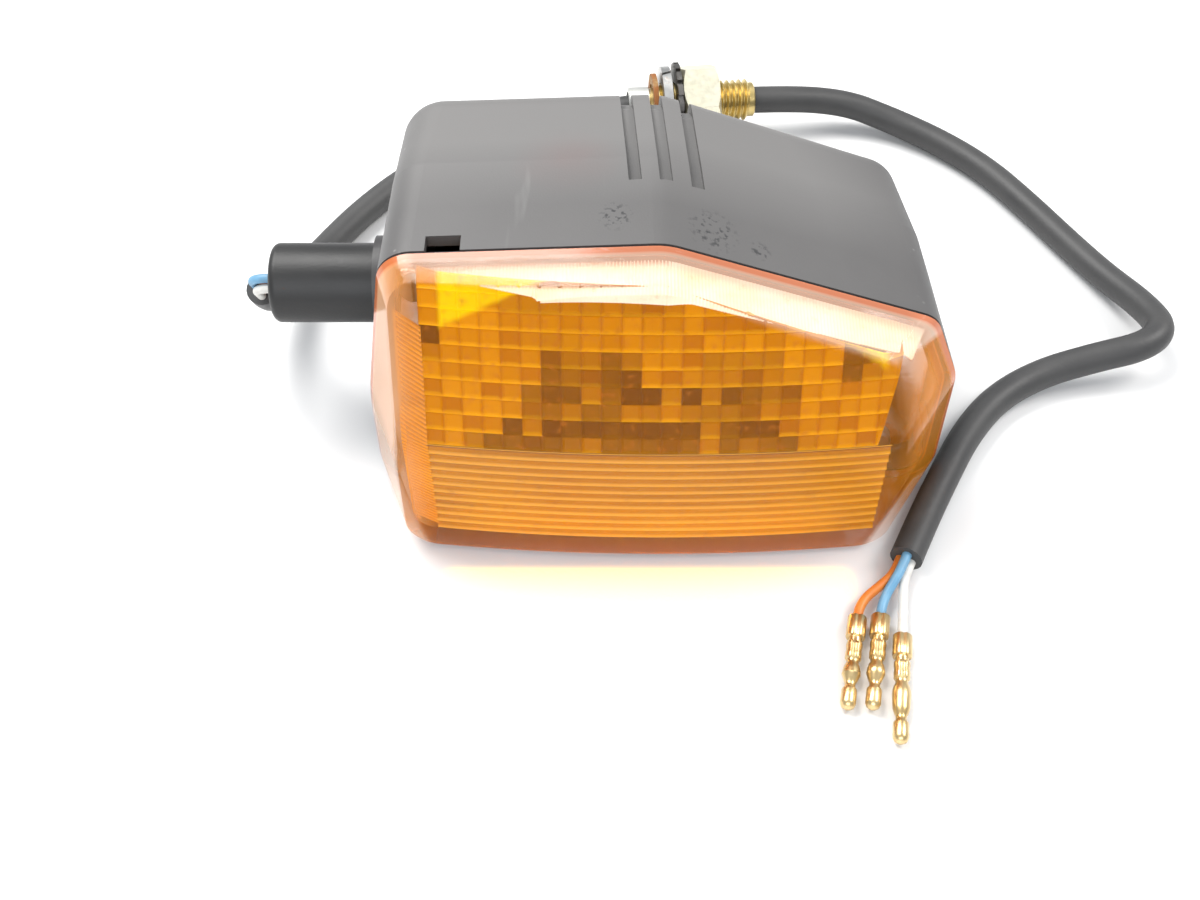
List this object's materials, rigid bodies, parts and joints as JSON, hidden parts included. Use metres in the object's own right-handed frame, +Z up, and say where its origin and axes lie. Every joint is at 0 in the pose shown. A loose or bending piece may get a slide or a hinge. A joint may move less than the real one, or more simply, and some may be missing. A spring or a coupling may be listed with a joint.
{
  "type": "motorcycle turn signal",
  "caption": "Amber turn signal lamp with a boxy black housing on a short side stem, bayonet bulb inside, and a sleeved cord through a hollow mounting stud to bullet terminals.",
  "frame": {"origin": "on the flat underside of the housing, straight below the axis of the stem", "axes": "+X from the stem to the outer end of the lamp, +Y from the lens to the rear wall, +Z up"},
  "size_m": [0.1986, 0.1843, 0.0639],
  "materials": {
    "black_plastic": "semi-gloss black moulding",
    "stem_plastic": "satin black tube",
    "amber_lens": "transparent amber, ribbed and prismed inside",
    "seal_rubber": "soft black rubber",
    "bright_reflector": "bright vacuum-plated",
    "zinc_steel": "zinc plated, a little dull",
    "yellow_zinc": "yellow passivated zinc",
    "dark_steel": "phosphated dark steel",
    "rusty_steel": "rusty plated steel",
    "brass": "plain pressed brass",
    "solder": "soft solder",
    "filament": "grey drawn wire",
    "insulator": "brown phenolic",
    "clear_glass": "clear blown glass",
    "wire_blue": "blue insulation",
    "wire_orange": "orange insulation",
    "wire_white": "off-white insulation",
    "sleeve_vinyl": "satin black soft vinyl sleeve"
  },
  "bodies": {
    "housing": {"housing_shell": "black_plastic", "lens_gasket": "seal_rubber", "reflector": "bright_reflector", "reflector_screws": "zinc_steel", "socket_shell": "zinc_steel", "earth_terminal": "brass", "socket_screws": "zinc_steel", "stem_tube": "stem_plastic", "stem_grommet": "seal_rubber", "stem_washer": "zinc_steel", "stem_locknut": "zinc_steel", "inner_wire_blue": "wire_blue", "inner_wire_orange": "wire_orange", "inner_wire_white": "wire_white", "cord_sleeve_rear": "sleeve_vinyl", "cord_sleeve_front": "sleeve_vinyl", "hollow_stud": "yellow_zinc", "thin_washer": "rusty_steel", "spring_washer": "zinc_steel", "lead_orange": "wire_orange", "lead_blue": "wire_blue", "lead_white": "wire_white", "bullet_orange": "brass", "bullet_blue": "brass", "bullet_white": "brass"},
    "lens": {"lens": "amber_lens"},
    "contact_carrier": {"contact_plate": "insulator", "plate_contacts": "brass", "contact_spring": "zinc_steel"},
    "bulb": {"bulb_base": "brass", "bulb_insulator": "insulator", "bulb_contacts": "solder", "bulb_glass": "clear_glass", "bulb_stem": "clear_glass", "bulb_filaments": "filament"},
    "toothed_washer": {"toothed_washer": "dark_steel"},
    "mounting_nut": {"mounting_nut": "yellow_zinc"}
  },
  "joints": [
    {"name": "lens_release", "type": "slide", "parent": "housing", "child": "lens", "axis": [0, -0.8387, 0.5446], "range_m": [0, 0.03]},
    {"name": "bulb_push", "type": "slide", "parent": "housing", "child": "contact_carrier", "axis": [0, 1, 0], "range_m": [0, 0.0015], "stiffness_N_per_m": 400},
    {"name": "bulb_twist", "type": "hinge", "parent": "contact_carrier", "child": "bulb", "pos_m": [0.001, 0, 0.031], "axis": [0, 1, 0], "range_deg": [-20, 0]},
    {"name": "washer_slide", "type": "slide", "parent": "housing", "child": "toothed_washer", "axis": [0.9954, 0.0957, 0], "range_m": [0, 0.006]},
    {"name": "nut_spin", "type": "hinge", "parent": "toothed_washer", "child": "mounting_nut", "pos_m": [0.01277, 0.08568, 0.0101], "axis": [0.9954, 0.0957, 0], "range_deg": [0, 1440]}
  ],
  "couplings": [
    {"joint": "nut_spin", "follows": "washer_slide", "rad_per_m": 4188.8}
  ]
}
